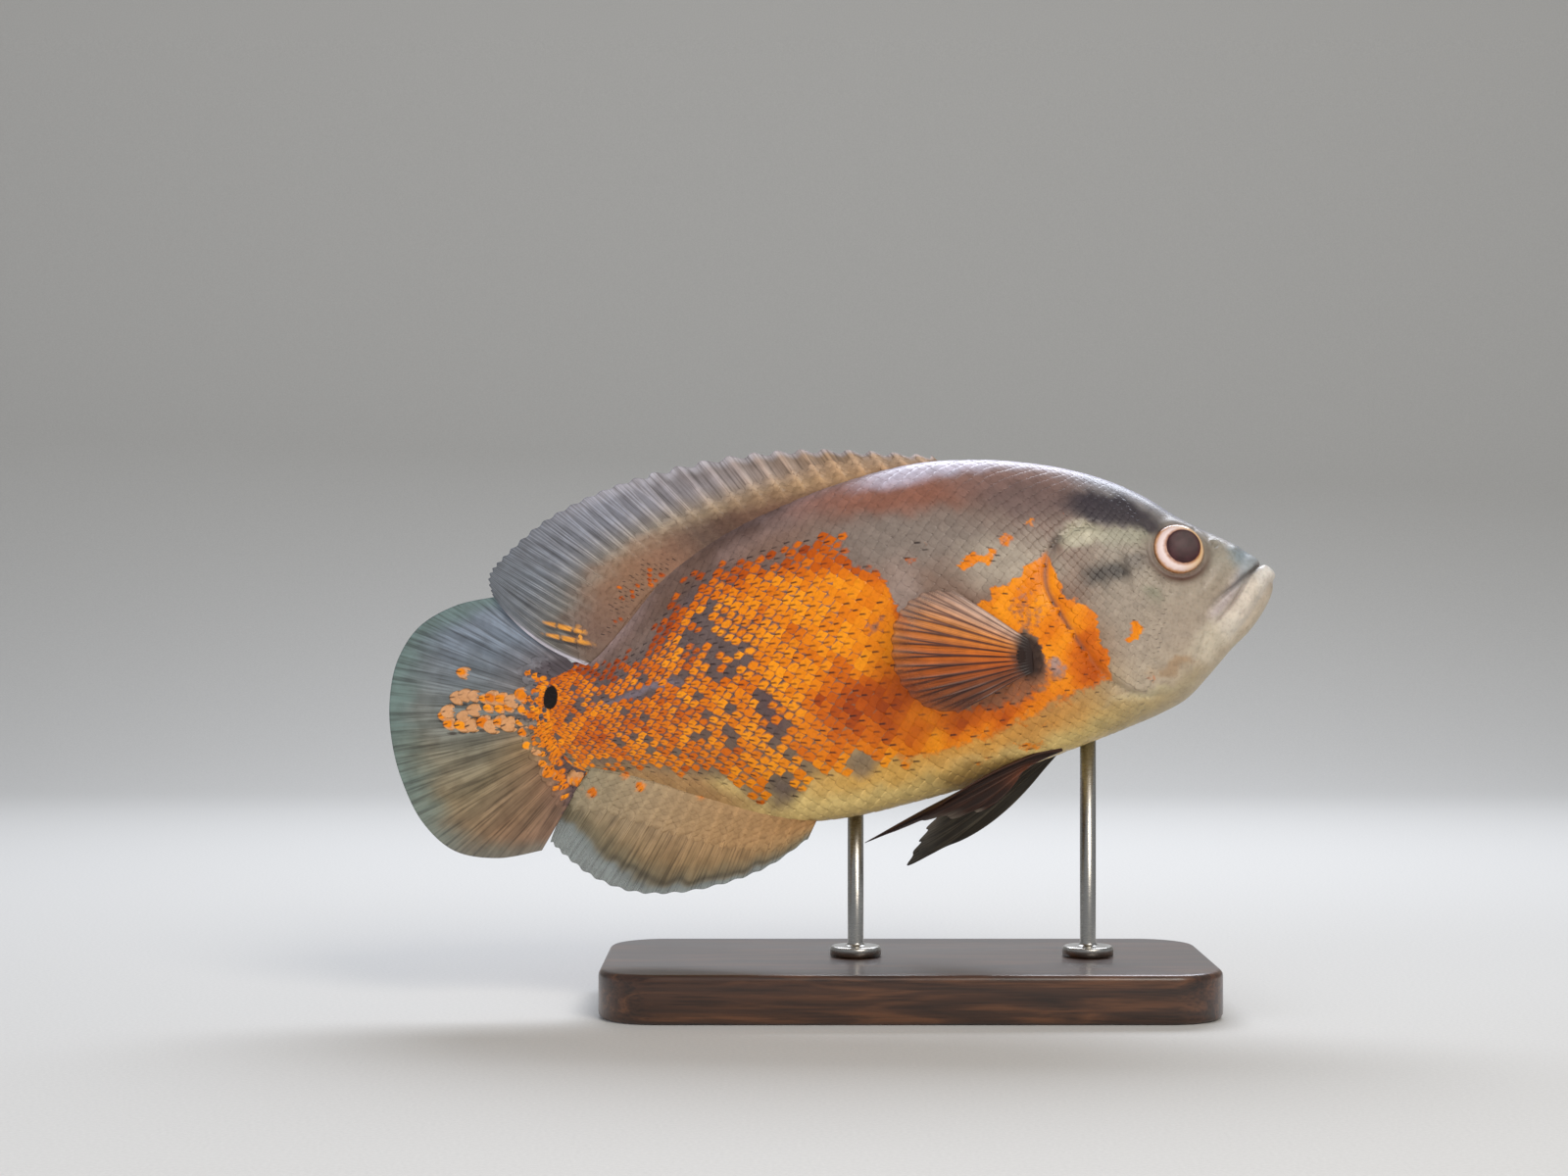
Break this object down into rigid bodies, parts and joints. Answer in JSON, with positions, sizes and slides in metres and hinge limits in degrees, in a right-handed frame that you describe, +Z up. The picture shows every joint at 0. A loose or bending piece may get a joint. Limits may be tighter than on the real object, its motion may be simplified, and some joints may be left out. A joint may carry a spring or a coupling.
{
  "type": "oscar fish display model",
  "caption": "Life-size model of an adult oscar swimming nose-up, all fins spread, held over a flat rounded base by slim rods.",
  "frame": {"origin": "middle of the underside of the stand's base", "axes": "+X towards the fish's snout, +Y towards its left side, +Z up"},
  "size_m": [0.2788, 0.092, 0.1748],
  "materials": {
    "head_skin": "painted cast resin, satin",
    "flank_skin": "painted cast resin, satin",
    "eye_ring": "gloss",
    "pupil": "gloss",
    "grey_fin": "tinted clear resin, satin",
    "rust_fin": "tinted clear resin, satin",
    "dark_fin": "tinted clear resin, satin",
    "base_wood": "dark stained, satin lacquer",
    "rod_steel": "brushed"
  },
  "bodies": {
    "root": {"head": "head_skin", "lower_jaw": "head_skin", "gill_cover_left": "head_skin", "gill_cover_right": "head_skin", "torso": "flank_skin", "tail_stalk": "flank_skin", "eye_left": "eye_ring", "eye_right": "eye_ring", "pupil_left": "pupil", "pupil_right": "pupil", "dorsal_fin_spiny": "grey_fin", "dorsal_fin_soft": "grey_fin", "anal_fin": "grey_fin", "tail_fin": "grey_fin", "pectoral_fin_left": "rust_fin", "pectoral_fin_right": "rust_fin", "pelvic_fin_left": "dark_fin", "pelvic_fin_right": "dark_fin", "stand_base": "base_wood", "stand_rod_front": "rod_steel", "stand_rod_rear": "rod_steel"}
  },
  "joints": []
}
